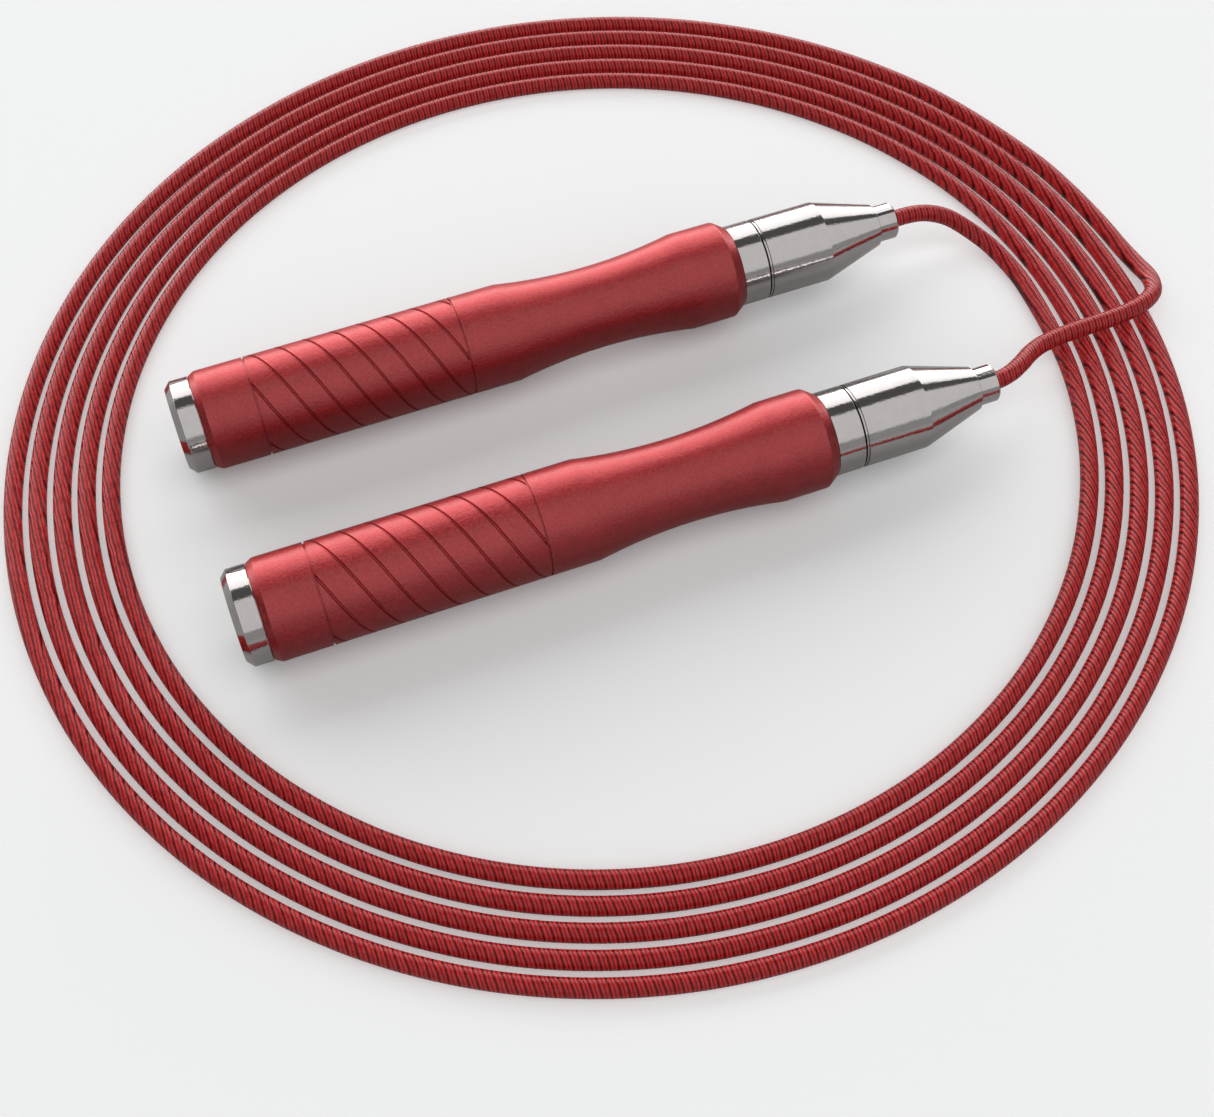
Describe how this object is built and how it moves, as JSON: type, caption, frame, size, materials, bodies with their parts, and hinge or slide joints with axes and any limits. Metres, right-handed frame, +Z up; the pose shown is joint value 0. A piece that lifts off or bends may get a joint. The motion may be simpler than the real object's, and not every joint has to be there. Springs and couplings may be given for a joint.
{
  "type": "jump rope",
  "caption": "Speed jump rope with thin coated cable wound in a flat coil, joining ball-bearing handles with waisted metal grips and push-to-release cable locks.",
  "frame": {"origin": "on the floor, midway between the two handles, halfway along them", "axes": "+X along both handles towards their rope ends, +Y from handle b to handle a, +Z up"},
  "size_m": [0.2115, 0.2114, 0.0174],
  "materials": {
    "red_anodised": "bead-blasted satin red anodising",
    "chrome": "polished",
    "black_plug": "matt",
    "bearing_steel": "ground",
    "spring_steel": "drawn wire",
    "brass": "turned",
    "red_rope": "satin moulded sheath over twisted steel wire"
  },
  "bodies": {
    "rope_and_heads": {"rope_coil": "red_rope", "rope_lead_a": "red_rope", "rope_lead_b": "red_rope", "rear_bearing_inner_a": "bearing_steel", "front_bearing_inner_a": "bearing_steel", "inner_spacer_a": "brass", "spindle_a": "bearing_steel", "spindle_nut_a": "bearing_steel", "nose_cone_a": "chrome", "release_spring_a": "spring_steel", "rope_tail_a": "red_rope", "cable_stop_a": "brass", "rear_bearing_inner_b": "bearing_steel", "front_bearing_inner_b": "bearing_steel", "inner_spacer_b": "brass", "spindle_b": "bearing_steel", "spindle_nut_b": "bearing_steel", "nose_cone_b": "chrome", "release_spring_b": "spring_steel", "rope_tail_b": "red_rope", "cable_stop_b": "brass"},
    "handle_a": {"grip_a": "red_anodised", "end_cap_a": "chrome", "end_plug_a": "black_plug", "collar_a": "chrome", "circlip_a": "spring_steel", "rear_bearing_outer_a": "bearing_steel", "front_bearing_outer_a": "bearing_steel", "outer_spacer_a": "brass"},
    "ball_cages_a": {"rear_bearing_cage_a": "bearing_steel", "front_bearing_cage_a": "bearing_steel"},
    "release_a": {"release_nozzle_a": "chrome", "lock_ball_1_a": "bearing_steel", "lock_ball_2_a": "bearing_steel", "lock_ball_3_a": "bearing_steel"},
    "handle_b": {"grip_b": "red_anodised", "end_cap_b": "chrome", "end_plug_b": "black_plug", "collar_b": "chrome", "circlip_b": "spring_steel", "rear_bearing_outer_b": "bearing_steel", "front_bearing_outer_b": "bearing_steel", "outer_spacer_b": "brass"},
    "ball_cages_b": {"rear_bearing_cage_b": "bearing_steel", "front_bearing_cage_b": "bearing_steel"},
    "release_b": {"release_nozzle_b": "chrome", "lock_ball_1_b": "bearing_steel", "lock_ball_2_b": "bearing_steel", "lock_ball_3_b": "bearing_steel"}
  },
  "joints": [
    {"name": "handle_spin_a", "type": "hinge", "parent": "rope_and_heads", "child": "handle_a", "pos_m": [0, 0.0203, 0.0087], "axis": [1, 0, 0], "continuous": true},
    {"name": "cage_spin_a", "type": "hinge", "parent": "rope_and_heads", "child": "ball_cages_a", "pos_m": [0, 0.0203, 0.0087], "axis": [1, 0, 0], "continuous": true},
    {"name": "release_press_a", "type": "slide", "parent": "rope_and_heads", "child": "release_a", "axis": [-1, 0, 0], "range_m": [0, 0.0025], "stiffness_N_per_m": 800, "springref_m": -0.003, "deforming": ["release_spring_a"]},
    {"name": "handle_spin_b", "type": "hinge", "parent": "rope_and_heads", "child": "handle_b", "pos_m": [0, -0.0203, 0.0087], "axis": [1, 0, 0], "continuous": true},
    {"name": "cage_spin_b", "type": "hinge", "parent": "rope_and_heads", "child": "ball_cages_b", "pos_m": [0, -0.0203, 0.0087], "axis": [1, 0, 0], "continuous": true},
    {"name": "release_press_b", "type": "slide", "parent": "rope_and_heads", "child": "release_b", "axis": [-1, 0, 0], "range_m": [0, 0.0025], "stiffness_N_per_m": 800, "springref_m": -0.003, "deforming": ["release_spring_b"]}
  ],
  "couplings": [
    {"joint": "cage_spin_a", "follows": "handle_spin_a", "ratio": 0.6},
    {"joint": "cage_spin_b", "follows": "handle_spin_b", "ratio": 0.6}
  ]
}
